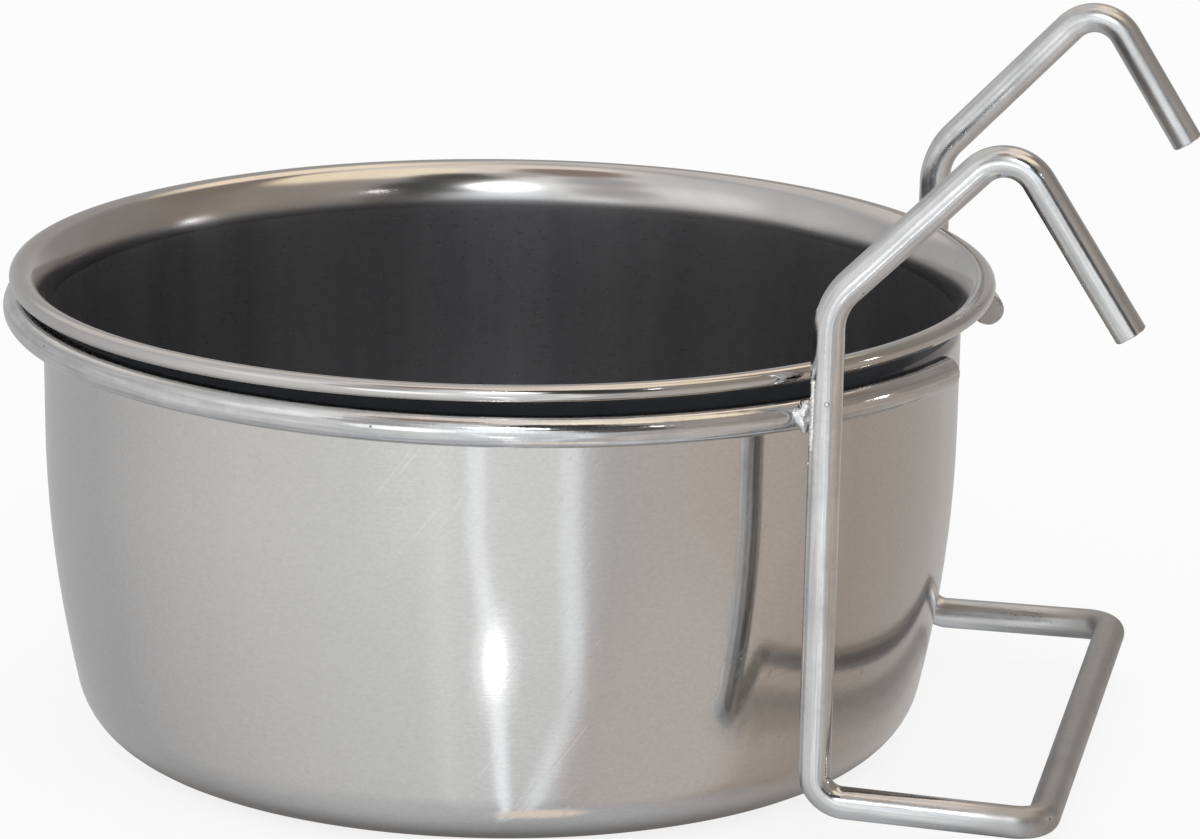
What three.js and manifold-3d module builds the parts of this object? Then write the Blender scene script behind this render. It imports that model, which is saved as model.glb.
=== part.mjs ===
// Cage mounted pet bowl: a drawn steel bowl that drops into a bent wire holder.
// Millimetres, +Z up. The origin is the centre of the bowl's base and +X points at the cage.
import * as THREE from 'three';
import { mergeVertices } from 'three/addons/utils/BufferGeometryUtils.js';
import Module from 'manifold-3d';

const { degToRad } = THREE.MathUtils;

// Bowl: deep drawn from one sheet, with a flared mouth and a rolled rim
const BOWL_HEIGHT = 59.2;
const RIM_RADIUS = 60.3;
const BEAD_RADIUS = 1.05;
const BEAD_ROLL = degToRad(265);
const RIM_OVERHANG = 4.1;
const SHEET = 0.6;
const FLARE_RADIUS = 1.9;
const FLARE_BREAK = degToRad(42);
const CURL_GAP = degToRad(2);
const WALL_TAPER = degToRad(0.6);
const BELLY_RADIUS = 150;
const BELLY_END = degToRad(13);
const CORNER_RADIUS = 9.8;

// Wire holder: one gauge of wire for the ring and the hook frame
const WIRE_RADIUS = 1.95;
const HEEL_BEND_RADIUS = 3.7;
const SHOULDER_BEND_RADIUS = 8;
const PEAK_BEND_RADIUS = 4.5;
const RING_PLAY = 1.35;
const RIM_GAP = 0.55;
const NEAR_RING_END = degToRad(17);
const FAR_RING_END = degToRad(14);
const HOLDER_SHIFT = 0.4;
const HOLDER_SAG = degToRad(0.55);

// Hook frame: half spread across the cage, reaches out from the uprights, rises from the ring
const UPRIGHT_HALF_SPREAD = 43.4;
const PEAK_REACH = 20.4;
const PEAK_RISE = 34.4;
const LOOP_HALF_WIDTH = 41.5;
const LOOP_LIFT = 6.65;

// The frame is bent by hand, so its two sides differ a little
const NEAR_SHOULDER_RISE = 13.6;
const FAR_SHOULDER_RISE = 12.6;
const NEAR_HEEL_LIFT = 1.5;
const FAR_HEEL_LIFT = -0.5;
const NEAR_LOOP_REACH = 26.6;
const FAR_LOOP_REACH = 25.3;
const NEAR_TIP_REACH = 14.4;
const FAR_TIP_REACH = 11.6;
const NEAR_TIP_DROP = 22;
const FAR_TIP_DROP = 18.2;

// Weld beads between the ring and the uprights
const WELD_GAP = 0.3;
const WELD_HALF_WIDTH = 3;
const WELD_HALF_HEIGHT = 3.5;
const WELD_HALF_DEPTH = 2.2;

// Facets
const BOWL_SEGMENTS = 80;
const CORNER_STEPS = 6;
const BELLY_STEPS = 5;
const FLARE_STEPS = 5;
const LIP_STEPS = 4;
const BEAD_STEPS = 11;
const WIRE_SIDES = 20;
const BEND_STEPS = 6;
const RING_STEPS = 72;
const WELD_SIDES = 24;
const WELD_ROWS = 16;
const MERGE_TOLERANCE = 1e-5;

// Bowl sizes that follow
const beadCentreRadius = RIM_RADIUS - BEAD_RADIUS;
const beadCentreHeight = BOWL_HEIGHT - BEAD_RADIUS;
const neckRadius = RIM_RADIUS - RIM_OVERHANG;
const rimUnderside = beadCentreHeight - BEAD_RADIUS;

// The flare opens on a wide arc, then turns out on a tight one that is centred under the bead
const beadOverLip = FLARE_RADIUS + SHEET - BEAD_RADIUS;
const lipCentreHeight = beadCentreHeight - beadOverLip;
const flareRun = beadCentreRadius - neckRadius - FLARE_RADIUS * Math.cos(FLARE_BREAK);
const flareRadius = flareRun / (1 - Math.cos(FLARE_BREAK));
const flareHeight = lipCentreHeight - (flareRadius - FLARE_RADIUS) * Math.sin(FLARE_BREAK);
const curlSine = (FLARE_RADIUS ** 2 + beadOverLip ** 2 - BEAD_RADIUS ** 2) / (2 * FLARE_RADIUS * beadOverLip);
const lipTurn = Math.asin(curlSine) - CURL_GAP;

// Holder sizes that follow: the ring clears the neck, and its low side stays under the rim
const ringRadius = neckRadius + RING_PLAY + WIRE_RADIUS;
const ringHeight = rimUnderside - RIM_GAP - WIRE_RADIUS - ringRadius * Math.sin(HOLDER_SAG);
const uprightRadius = ringRadius + 2 * WIRE_RADIUS + WELD_GAP;
const uprightReach = Math.sqrt(uprightRadius ** 2 - UPRIGHT_HALF_SPREAD ** 2);
const loopDrop = ringHeight - LOOP_LIFT;

// Points of a profile arc in the (radius, height) plane, angles counted from the outward axis
function profileArc(centreRadius, centreHeight, radius, from, to, steps) {
  const points = [];
  for (let i = 0; i <= steps; i++) {
    const angle = from + (to - from) * (i / steps);
    const x = centreRadius + radius * Math.cos(angle);
    const y = centreHeight + radius * Math.sin(angle);
    points.push(new THREE.Vector2(x, y));
  }
  return points;
}

// The body's face from the base up to the neck, moved inwards by inset
function bodyProfile(inset) {
  const down = -Math.PI / 2;
  const bellyRise = BELLY_RADIUS * (Math.sin(BELLY_END) - Math.sin(WALL_TAPER));
  const cornerRise = CORNER_RADIUS * (1 - Math.sin(BELLY_END));
  const wallRun = (flareHeight - bellyRise - cornerRise) * Math.tan(WALL_TAPER);
  const bellyCentreRadius = neckRadius - wallRun - BELLY_RADIUS * Math.cos(WALL_TAPER);
  const bellyCentreHeight = bellyRise + cornerRise + BELLY_RADIUS * Math.sin(WALL_TAPER);
  const cornerCentreRadius = bellyCentreRadius + (BELLY_RADIUS - CORNER_RADIUS) * Math.cos(BELLY_END);
  const corner = profileArc(
    cornerCentreRadius, CORNER_RADIUS, CORNER_RADIUS - inset, down, -BELLY_END, CORNER_STEPS);
  const belly = profileArc(
    bellyCentreRadius, bellyCentreHeight, BELLY_RADIUS - inset, -BELLY_END, -WALL_TAPER, BELLY_STEPS);
  const neck = new THREE.Vector2(neckRadius - inset, flareHeight);
  return [new THREE.Vector2(0, inset), ...corner, ...belly.slice(1), neck];
}

// Closed section of the sheet, turned about the bowl's axis
function bowlGeometry() {
  const up = Math.PI / 2;
  const inward = Math.PI;
  const flareEnd = inward - FLARE_BREAK;
  const flareCentreRadius = neckRadius + flareRadius;
  const underFlare = profileArc(
    flareCentreRadius, flareHeight, flareRadius, inward, flareEnd, FLARE_STEPS);
  const overFlare = profileArc(
    flareCentreRadius, flareHeight, flareRadius + SHEET, flareEnd, inward, FLARE_STEPS);
  const lipUnderside = new THREE.Vector2(
    beadCentreRadius - FLARE_RADIUS * Math.cos(lipTurn),
    lipCentreHeight + FLARE_RADIUS * Math.sin(lipTurn),
  );
  const lip = profileArc(
    beadCentreRadius, lipCentreHeight, FLARE_RADIUS + SHEET, up, flareEnd, LIP_STEPS);
  const bead = profileArc(
    beadCentreRadius, beadCentreHeight, BEAD_RADIUS, up - BEAD_ROLL, up, BEAD_STEPS);
  const section = [
    ...bodyProfile(0),
    ...underFlare.slice(1),
    lipUnderside,
    ...bead,
    ...lip.slice(1),
    ...overFlare.slice(1, -1),
    ...bodyProfile(SHEET).reverse(),
  ];
  return new THREE.LatheGeometry(section, BOWL_SEGMENTS).rotateX(Math.PI / 2);
}

// A wire's centre line, held as stations so that only the bends take steps
class WirePath extends THREE.Curve {
  constructor(stations) {
    super();
    this.stations = stations;
    this.steps = stations.length - 1;
  }

  station(u) {
    return this.stations[Math.round(u * this.steps)];
  }

  getPointAt(u) {
    return this.station(u).point.clone();
  }

  getTangentAt(u) {
    return this.station(u).tangent.clone();
  }
}

// Straight runs between corners, each inner corner rounded to its bend radius
function bentWire(corners) {
  const last = corners.length - 1;
  const stations = [];
  const run = (i) => new THREE.Vector3().subVectors(corners[i + 1].point, corners[i].point).normalize();
  stations.push({ point: corners[0].point, tangent: run(0) });
  for (let i = 1; i < last; i++) {
    const before = run(i - 1);
    const turn = before.angleTo(run(i));
    const axis = new THREE.Vector3().crossVectors(before, run(i)).normalize();
    const inward = new THREE.Vector3().crossVectors(axis, before);
    const { point, bend } = corners[i];
    const start = point.clone().addScaledVector(before, -bend * Math.tan(turn / 2));
    const centre = start.addScaledVector(inward, bend);
    for (let k = 0; k <= BEND_STEPS; k++) {
      const angle = turn * (k / BEND_STEPS);
      const arm = inward.clone().multiplyScalar(-bend).applyAxisAngle(axis, angle);
      const tangent = before.clone().applyAxisAngle(axis, angle);
      stations.push({ point: centre.clone().add(arm), tangent });
    }
  }
  stations.push({ point: corners[last].point, tangent: run(last - 1) });
  return new WirePath(stations);
}

// The open ring round the neck, its gap facing the cage
function ringPath() {
  const stations = [];
  const sweep = 2 * Math.PI - FAR_RING_END - NEAR_RING_END;
  for (let i = 0; i <= RING_STEPS; i++) {
    const angle = FAR_RING_END + sweep * (i / RING_STEPS);
    const point = new THREE.Vector3(ringRadius * Math.cos(angle), ringRadius * Math.sin(angle), 0);
    const tangent = new THREE.Vector3(-Math.sin(angle), Math.cos(angle), 0);
    stations.push({ point, tangent });
  }
  return new WirePath(stations);
}

// Hook, upright, heel, crossbar and back again, from the ring's plane
function framePath() {
  const at = (reach, y, rise, bend) => ({
    point: new THREE.Vector3(uprightReach + reach, y, rise),
    bend,
  });
  const near = -UPRIGHT_HALF_SPREAD;
  const far = UPRIGHT_HALF_SPREAD;
  return bentWire([
    at(PEAK_REACH + NEAR_TIP_REACH, near, PEAK_RISE - NEAR_TIP_DROP),
    at(PEAK_REACH, near, PEAK_RISE, PEAK_BEND_RADIUS),
    at(0, near, NEAR_SHOULDER_RISE, SHOULDER_BEND_RADIUS),
    at(0, near, NEAR_HEEL_LIFT - loopDrop, HEEL_BEND_RADIUS),
    at(NEAR_LOOP_REACH, -LOOP_HALF_WIDTH, -loopDrop, HEEL_BEND_RADIUS),
    at(FAR_LOOP_REACH, LOOP_HALF_WIDTH, -loopDrop, HEEL_BEND_RADIUS),
    at(0, far, FAR_HEEL_LIFT - loopDrop, HEEL_BEND_RADIUS),
    at(0, far, FAR_SHOULDER_RISE, SHOULDER_BEND_RADIUS),
    at(PEAK_REACH, far, PEAK_RISE, PEAK_BEND_RADIUS),
    at(PEAK_REACH + FAR_TIP_REACH, far, PEAK_RISE - FAR_TIP_DROP),
  ]);
}

// Round wire along a path, with plain cut ends
function wireGeometry(path, radius) {
  const section = new THREE.Shape();
  section.absarc(0, 0, radius, 0, 2 * Math.PI);
  return new THREE.ExtrudeGeometry(section, {
    steps: path.steps,
    curveSegments: WIRE_SIDES / 2,
    bevelEnabled: false,
    extrudePath: path,
  });
}

const wasm = await Module();
wasm.setup();

// Closed geometry to solid and back, for the weld beads' cuts
function solid(geometry) {
  const bare = geometry.clone();
  bare.deleteAttribute('normal');
  bare.deleteAttribute('uv');
  const merged = mergeVertices(bare, MERGE_TOLERANCE);
  return new wasm.Manifold(new wasm.Mesh({
    numProp: 3,
    vertProperties: new Float32Array(merged.attributes.position.array),
    triVerts: new Uint32Array(merged.index.array),
  }));
}

function geometryOf(manifold) {
  const mesh = manifold.getMesh();
  const geometry = new THREE.BufferGeometry();
  geometry.setAttribute('position', new THREE.BufferAttribute(mesh.vertProperties, 3));
  geometry.setIndex(new THREE.BufferAttribute(mesh.triVerts, 1));
  geometry.computeVertexNormals();
  return geometry;
}

// A bead squeezed between the two crossing wires, cut back to clear them both
function weldGeometry(side) {
  const contactRadius = ringRadius + WIRE_RADIUS + WELD_GAP / 2;
  const direction = Math.atan2(side * UPRIGHT_HALF_SPREAD, uprightReach);
  const bead = new THREE.SphereGeometry(1, WELD_SIDES, WELD_ROWS);
  bead.scale(WELD_HALF_DEPTH, WELD_HALF_WIDTH, WELD_HALF_HEIGHT);
  bead.translate(contactRadius, 0, 0);
  bead.rotateZ(direction);
  const ring = solid(wireGeometry(ringPath(), WIRE_RADIUS + WELD_GAP));
  const frame = solid(wireGeometry(framePath(), WIRE_RADIUS + WELD_GAP));
  return geometryOf(solid(bead).subtract(ring).subtract(frame));
}

const polishedSteel = { color: 0xb9b5af, metalness: 1, roughness: 0.18 };
const drawnWire = { color: 0xa9a8a5, metalness: 1, roughness: 0.32 };
const weldMetal = { color: 0xc4c6c6, metalness: 1, roughness: 0.42 };

function piece(name, geometry, finish) {
  const mesh = new THREE.Mesh(geometry, new THREE.MeshStandardMaterial(finish));
  mesh.name = name;
  return mesh;
}

const holder = new THREE.Group();
holder.position.set(HOLDER_SHIFT, 0, ringHeight);
holder.rotation.y = HOLDER_SAG;
holder.add(piece('rim_ring', wireGeometry(ringPath(), WIRE_RADIUS), drawnWire));
holder.add(piece('hook_frame', wireGeometry(framePath(), WIRE_RADIUS), drawnWire));
holder.add(piece('near_weld', weldGeometry(-1), weldMetal));
holder.add(piece('far_weld', weldGeometry(1), weldMetal));

const part = new THREE.Group();
part.add(piece('bowl', bowlGeometry(), polishedSteel));
part.add(holder);

export default part;
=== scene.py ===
import math
import random

import bpy
from mathutils import Matrix, Vector, noise


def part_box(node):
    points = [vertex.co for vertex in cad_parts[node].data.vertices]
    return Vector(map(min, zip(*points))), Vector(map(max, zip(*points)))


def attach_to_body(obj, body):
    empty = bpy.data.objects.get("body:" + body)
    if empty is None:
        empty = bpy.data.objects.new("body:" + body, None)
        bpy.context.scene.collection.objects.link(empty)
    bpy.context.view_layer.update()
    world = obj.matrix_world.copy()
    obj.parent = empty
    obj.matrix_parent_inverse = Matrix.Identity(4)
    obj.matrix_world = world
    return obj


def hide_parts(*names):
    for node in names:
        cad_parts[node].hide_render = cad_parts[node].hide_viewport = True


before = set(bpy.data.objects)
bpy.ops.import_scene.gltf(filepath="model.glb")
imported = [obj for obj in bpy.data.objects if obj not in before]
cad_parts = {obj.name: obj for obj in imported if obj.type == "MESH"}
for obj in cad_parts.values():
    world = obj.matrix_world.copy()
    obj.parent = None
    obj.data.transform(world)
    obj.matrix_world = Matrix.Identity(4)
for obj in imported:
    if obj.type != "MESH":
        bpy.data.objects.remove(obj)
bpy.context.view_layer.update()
random.seed(7)

MM = 0.001
BODY_BOWL = "bowl"
BODY_HOLDER = "holder"

# Bowl sizes: the frame gives the height and the rim
bowl_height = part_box("bowl")[1].z
rim_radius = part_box("bowl")[1].x
BEAD_RADIUS = 1.05 * MM
BEAD_ROLL = math.radians(265)
RIM_OVERHANG = 4.1 * MM
SHEET = 0.6 * MM
FLARE_RADIUS = 1.9 * MM
FLARE_BREAK = math.radians(42)
CURL_GAP = math.radians(2)
WALL_TAPER = math.radians(0.6)
BELLY_RADIUS = 150 * MM
BELLY_END = math.radians(13)
CORNER_RADIUS = 9.8 * MM

# The drawn wall's slow unevenness: its size, where it fades out at both ends, and the scale of its noise
# round the axis and up the wall
WALL_RIPPLE = 0.035 * MM
RIPPLE_ABOVE_BASE = 12 * MM
RIPPLE_BELOW_FLARE = 8 * MM
RIPPLE_ROUND = 3.2
RIPPLE_UP = 42

# Wire holder sizes
WIRE_RADIUS = 1.95 * MM
WIRE_SKIN = 0.015 * MM
HEEL_BEND_RADIUS = 3.7 * MM
SHOULDER_BEND_RADIUS = 8 * MM
PEAK_BEND_RADIUS = 4.5 * MM
BEND_SQUASH = 0.05
RING_PLAY = 1.35 * MM
RIM_GAP = 0.55 * MM
NEAR_RING_END = math.radians(17)
FAR_RING_END = math.radians(14)
HOLDER_SHIFT = 0.4 * MM
HOLDER_SAG = math.radians(0.55)
UPRIGHT_HALF_SPREAD = 43.4 * MM
PEAK_REACH = 20.4 * MM
PEAK_RISE = 34.4 * MM
NEAR_LOOP_REACH = 26.6 * MM
FAR_LOOP_REACH = 25.3 * MM
LOOP_HALF_WIDTH = 41.5 * MM
LOOP_LIFT = 6.65 * MM
NEAR_SHOULDER_RISE = 13.6 * MM
FAR_SHOULDER_RISE = 12.6 * MM
NEAR_HEEL_LIFT = 1.5 * MM
FAR_HEEL_LIFT = -0.5 * MM
NEAR_TIP_REACH = 14.4 * MM
FAR_TIP_REACH = 11.6 * MM
NEAR_TIP_DROP = 22 * MM
FAR_TIP_DROP = 18.2 * MM
WELD_GAP = 0.3 * MM

# The sheared ends of the wire: bevel, rings of the face by share of its radius, and dents
CUT_BEVEL = 0.18 * MM
CUT_RINGS = (1 - CUT_BEVEL / WIRE_RADIUS, 0.75, 0.45, 0.18)
CUT_DENT = 0.7 * CUT_BEVEL
CUT_DENT_WAVES = 900

# Camera, fitted to the photograph
CAMERA_AZIMUTH = math.radians(10.75)
CAMERA_ELEVATION = math.radians(14.8)
CAMERA_ROLL = math.radians(0.8)
CAMERA_DISTANCE = 0.8
CAMERA_HEIGHT = 40.76 * MM
CAMERA_RIGHT = 12.13 * MM
CAMERA_UP = -1.03 * MM
CAMERA_CLIP = 10 * MM
LENS_PER_WIDTH = 6493.5 / 1200
SENSOR = 36

# Facets
BOWL_SEGMENTS = 288
ARC_STEP = math.radians(6)
RADIAL_STEPS = 14
BELLY_STEPS = 10
WALL_STEPS = 10
WIRE_SIDES = 48
BEND_STEPS = 24
RUN_STEP = 1.2 * MM
RING_STEPS = 300
BALL_SIDES = 20
BALL_ROWS = 12
SHARP_ANGLE = math.radians(40)

# Sizes that follow
neck_radius = rim_radius - RIM_OVERHANG
bead_centre = (rim_radius - BEAD_RADIUS, bowl_height - BEAD_RADIUS)

# The flare opens on a wide arc, then turns out on a tight one that is centred under the bead
bead_over_lip = FLARE_RADIUS + SHEET - BEAD_RADIUS
lip_centre = (bead_centre[0], bead_centre[1] - bead_over_lip)
flare_run = bead_centre[0] - neck_radius - FLARE_RADIUS * math.cos(FLARE_BREAK)
flare_radius = flare_run / (1 - math.cos(FLARE_BREAK))
flare_height = lip_centre[1] - (flare_radius - FLARE_RADIUS) * math.sin(FLARE_BREAK)
flare_centre = (neck_radius + flare_radius, flare_height)
curl_sine = (FLARE_RADIUS ** 2 + bead_over_lip ** 2 - BEAD_RADIUS ** 2) / (2 * FLARE_RADIUS * bead_over_lip)
lip_turn = math.asin(curl_sine) - CURL_GAP

# The holder's sizes
ring_radius = neck_radius + RING_PLAY + WIRE_RADIUS
rim_underside = bead_centre[1] - BEAD_RADIUS
ring_height = rim_underside - RIM_GAP - WIRE_RADIUS - ring_radius * math.sin(HOLDER_SAG)
upright_radius = ring_radius + 2 * WIRE_RADIUS + WELD_GAP
upright_reach = math.sqrt(upright_radius ** 2 - UPRIGHT_HALF_SPREAD ** 2)
loop_drop = ring_height - LOOP_LIFT
holder_place = (
    Matrix.Translation((HOLDER_SHIFT, 0, ring_height)) @ Matrix.Rotation(HOLDER_SAG, 4, "Y")
)

# Level directions from the object towards the camera, and to the camera's right
level_back = Vector((math.sin(CAMERA_AZIMUTH), -math.cos(CAMERA_AZIMUTH), 0))
level_right = Vector((math.cos(CAMERA_AZIMUTH), math.sin(CAMERA_AZIMUTH), 0))


# Mesh helpers
def mesh_object(name, points, faces, materials, slots, place=None):
    """A smooth mesh object with one material slot number for each face."""
    mesh = bpy.data.meshes.new(name)
    mesh.from_pydata([tuple(p) for p in points], [], faces)
    for material in materials:
        mesh.materials.append(material)
    mesh.polygons.foreach_set("material_index", slots)
    mesh.shade_smooth()
    mesh.set_sharp_from_angle(angle=SHARP_ANGLE)
    if place is not None:
        mesh.transform(place)
    made = bpy.data.objects.new(name, mesh)
    bpy.context.scene.collection.objects.link(made)
    return made


def arc(centre, radius, start, end):
    """Profile points on an arc, angles counted from the outward axis."""
    steps = max(2, math.ceil(abs(end - start) / ARC_STEP))
    points = []
    for i in range(steps + 1):
        angle = start + (end - start) * i / steps
        points.append((centre[0] + radius * math.cos(angle), centre[1] + radius * math.sin(angle)))
    return points


# Bowl: the zones of its skin, in the order of its materials
OUTSIDE, RIM, INSIDE, GROOVE = range(4)


def body_profile(inset):
    """The body's face from near the axis up to the neck, moved inwards by inset."""
    belly_rise = BELLY_RADIUS * (math.sin(BELLY_END) - math.sin(WALL_TAPER))
    corner_rise = CORNER_RADIUS * (1 - math.sin(BELLY_END))
    wall_height = flare_centre[1] - belly_rise - corner_rise
    wall_run = wall_height * math.tan(WALL_TAPER)
    belly_centre = (
        neck_radius - wall_run - BELLY_RADIUS * math.cos(WALL_TAPER),
        belly_rise + corner_rise + BELLY_RADIUS * math.sin(WALL_TAPER),
    )
    corner_centre = (
        belly_centre[0] + (BELLY_RADIUS - CORNER_RADIUS) * math.cos(BELLY_END),
        CORNER_RADIUS,
    )
    corner = arc(corner_centre, CORNER_RADIUS - inset, -math.pi / 2, -BELLY_END)
    floor_edge = corner[0][0]
    base = [(floor_edge * i / RADIAL_STEPS, inset) for i in range(1, RADIAL_STEPS)]
    reach = BELLY_RADIUS - inset
    belly = []
    for i in range(1, BELLY_STEPS + 1):
        angle = -BELLY_END + (BELLY_END - WALL_TAPER) * i / BELLY_STEPS
        belly.append((
            belly_centre[0] + reach * math.cos(angle),
            belly_centre[1] + reach * math.sin(angle),
        ))
    top = (neck_radius - inset, flare_centre[1])
    wall = []
    for i in range(1, WALL_STEPS + 1):
        t = i / WALL_STEPS
        wall.append((
            belly[-1][0] + (top[0] - belly[-1][0]) * t,
            belly[-1][1] + (top[1] - belly[-1][1]) * t,
        ))
    return base + corner + belly + wall


def bowl_profile():
    """The skin's section, outside, rolled rim, flare and inside, and the zone that follows each point."""
    up = math.pi / 2
    flare_end = math.pi - FLARE_BREAK
    outer = body_profile(0)
    inner = body_profile(SHEET)
    under = arc(flare_centre, flare_radius, math.pi, flare_end)[1:]
    under += arc(lip_centre, FLARE_RADIUS, flare_end, math.pi - lip_turn)[1:]
    bead = arc(bead_centre, BEAD_RADIUS, up - BEAD_ROLL, up)
    over = arc(lip_centre, FLARE_RADIUS + SHEET, up, flare_end)[1:]
    over += arc(flare_centre, flare_radius + SHEET, flare_end, math.pi)[1:-1]
    points = []
    zones = []
    # The underside of the flare takes the painted shade of the recess
    runs = ((outer, OUTSIDE), (under[:-1], GROOVE), (bead, RIM), (over, RIM), (inner[::-1], INSIDE))
    for run, zone in runs:
        points += run
        zones += [zone] * len(run)
    return points, zones


def wall_ripple(height, angle):
    """Slow unevenness of the drawn wall, none at the base and the flare."""
    fade = min(1, height / RIPPLE_ABOVE_BASE)
    fade *= min(1, max(0, flare_centre[1] - height) / RIPPLE_BELOW_FLARE)
    spot = Vector((math.cos(angle) * RIPPLE_ROUND, math.sin(angle) * RIPPLE_ROUND, height * RIPPLE_UP))
    return WALL_RIPPLE * fade * noise.noise(spot)


def make_bowl(materials):
    """The shell as one closed skin, turned round the axis."""
    profile, zones = bowl_profile()
    rows = len(profile)
    points = []
    for k in range(BOWL_SEGMENTS):
        angle = 2 * math.pi * k / BOWL_SEGMENTS
        for radius, height in profile:
            reach = radius + wall_ripple(height, angle)
            points.append((reach * math.cos(angle), reach * math.sin(angle), height))
    bottom = len(points)
    points += [(0, 0, 0), (0, 0, SHEET)]
    faces = []
    slots = []
    for k in range(BOWL_SEGMENTS):
        here = k * rows
        there = (k + 1) % BOWL_SEGMENTS * rows
        faces.append((bottom, there, here))
        slots.append(zones[0])
        for i in range(rows - 1):
            faces.append((here + i, there + i, there + i + 1, here + i + 1))
            slots.append(zones[i])
        faces.append((bottom + 1, here + rows - 1, there + rows - 1))
        slots.append(zones[-1])
    bowl = mesh_object("bowl_shell", points, faces, materials, slots)
    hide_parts("bowl")
    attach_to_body(bowl, BODY_BOWL)


# Wires
def ring_stations():
    """Stations (point, tangent, inward, squash) round the open ring."""
    sweep = 2 * math.pi - FAR_RING_END - NEAR_RING_END
    stations = []
    for i in range(RING_STEPS + 1):
        angle = FAR_RING_END + sweep * i / RING_STEPS
        point = Vector((math.cos(angle), math.sin(angle), 0)) * ring_radius
        tangent = Vector((-math.sin(angle), math.cos(angle), 0))
        stations.append((point, tangent, -point.normalized(), 0))
    return stations


def bent_stations(corners):
    """Straight runs between corners, each inner corner rounded and a little squashed."""
    def run(i):
        return (corners[i + 1][0] - corners[i][0]).normalized()

    last = len(corners) - 1
    stations = []
    start = corners[0][0]
    for i in range(1, last + 1):
        before = run(i - 1)
        corner, bend = corners[i]
        turn = before.angle(run(i)) if i < last else 0
        setback = bend * math.tan(turn / 2)
        stop = corner - before * setback
        steps = max(2, math.ceil((stop - start).length / RUN_STEP))
        for k in range(steps):
            stations.append((start.lerp(stop, k / steps), before, before.orthogonal(), 0))
        if i == last:
            stations.append((stop, before, before.orthogonal(), 0))
            break
        axis = before.cross(run(i)).normalized()
        inward = axis.cross(before)
        centre = stop + inward * bend
        for k in range(BEND_STEPS):
            spin = Matrix.Rotation(turn * k / BEND_STEPS, 3, axis)
            arm = spin @ (-inward * bend)
            squash = BEND_SQUASH * math.sin(math.pi * k / BEND_STEPS)
            stations.append((centre + arm, spin @ before, -arm.normalized(), squash))
        start = corner + run(i) * setback
    return stations


def frame_corners():
    """Hook, upright, heel, crossbar and back again, from the ring's plane."""
    near = -UPRIGHT_HALF_SPREAD
    far = UPRIGHT_HALF_SPREAD

    def at(reach, y, rise, bend=0):
        return Vector((upright_reach + reach, y, rise)), bend

    return [
        at(PEAK_REACH + NEAR_TIP_REACH, near, PEAK_RISE - NEAR_TIP_DROP),
        at(PEAK_REACH, near, PEAK_RISE, PEAK_BEND_RADIUS),
        at(0, near, NEAR_SHOULDER_RISE, SHOULDER_BEND_RADIUS),
        at(0, near, NEAR_HEEL_LIFT - loop_drop, HEEL_BEND_RADIUS),
        at(NEAR_LOOP_REACH, -LOOP_HALF_WIDTH, -loop_drop, HEEL_BEND_RADIUS),
        at(FAR_LOOP_REACH, LOOP_HALF_WIDTH, -loop_drop, HEEL_BEND_RADIUS),
        at(0, far, FAR_HEEL_LIFT - loop_drop, HEEL_BEND_RADIUS),
        at(0, far, FAR_SHOULDER_RISE, SHOULDER_BEND_RADIUS),
        at(PEAK_REACH, far, PEAK_RISE, PEAK_BEND_RADIUS),
        at(PEAK_REACH + FAR_TIP_REACH, far, PEAK_RISE - FAR_TIP_DROP),
    ]


def make_wire(name, replaced, stations, materials):
    """Round wire along the stations, with drawn-line coordinates and sheared ends."""
    radius = WIRE_RADIUS - WIRE_SKIN
    side = stations[0][1].orthogonal().normalized()
    points = []
    lines = []
    along = 0
    previous = stations[0]
    for station in stations:
        point, tangent, inward, squash = station
        along += (point - previous[0]).length
        side = previous[1].rotation_difference(tangent) @ side
        side = (side - tangent * side.dot(tangent)).normalized()
        up = tangent.cross(side)
        for k in range(WIRE_SIDES):
            angle = 2 * math.pi * k / WIRE_SIDES
            out = side * math.cos(angle) + up * math.sin(angle)
            reach = radius * (1 - squash * out.dot(inward) ** 2)
            points.append(point + out * reach)
            lines.append((radius * math.cos(angle), radius * math.sin(angle), along))
        previous = station
    faces = []
    slots = []
    for i in range(len(stations) - 1):
        for k in range(WIRE_SIDES):
            a = i * WIRE_SIDES + k
            b = i * WIRE_SIDES + (k + 1) % WIRE_SIDES
            faces.append((a, b, b + WIRE_SIDES, a + WIRE_SIDES))
            slots.append(0)
    for row, outward in ((0, -stations[0][1]), (len(stations) - 1, stations[-1][1])):
        close_end(points, lines, faces, slots, row * WIRE_SIDES, outward, row == 0)
    made = mesh_object(name, points, faces, materials, slots, holder_place)
    drawn = made.data.attributes.new("drawn_lines", "FLOAT_VECTOR", "POINT")
    drawn.data.foreach_set("vector", [x for line in lines for x in line])
    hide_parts(replaced)
    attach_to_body(made, BODY_HOLDER)


def close_end(points, lines, faces, slots, first, outward, reverse):
    """Bevels one end of the wire and closes it with a slightly uneven sheared face."""
    rim = [points[first + k].copy() for k in range(WIRE_SIDES)]
    centre = sum(rim, Vector()) / WIRE_SIDES
    for k in range(WIRE_SIDES):
        points[first + k] = rim[k] - outward * CUT_BEVEL
    ring = list(range(first, first + WIRE_SIDES))
    for share in CUT_RINGS:
        new_ring = []
        for k in range(WIRE_SIDES):
            spot = centre.lerp(rim[k], share)
            dent = abs(noise.noise(spot * CUT_DENT_WAVES)) * CUT_DENT
            new_ring.append(len(points))
            points.append(spot - outward * dent)
            lines.append(lines[first + k])
        for k in range(WIRE_SIDES):
            j = (k + 1) % WIRE_SIDES
            quad = (ring[k], ring[j], new_ring[j], new_ring[k])
            faces.append(quad[::-1] if reverse else quad)
            slots.append(0 if share == CUT_RINGS[0] else 1)
        ring = new_ring
    faces.append(tuple(ring[::-1] if reverse else ring))
    slots.append(1)


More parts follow.
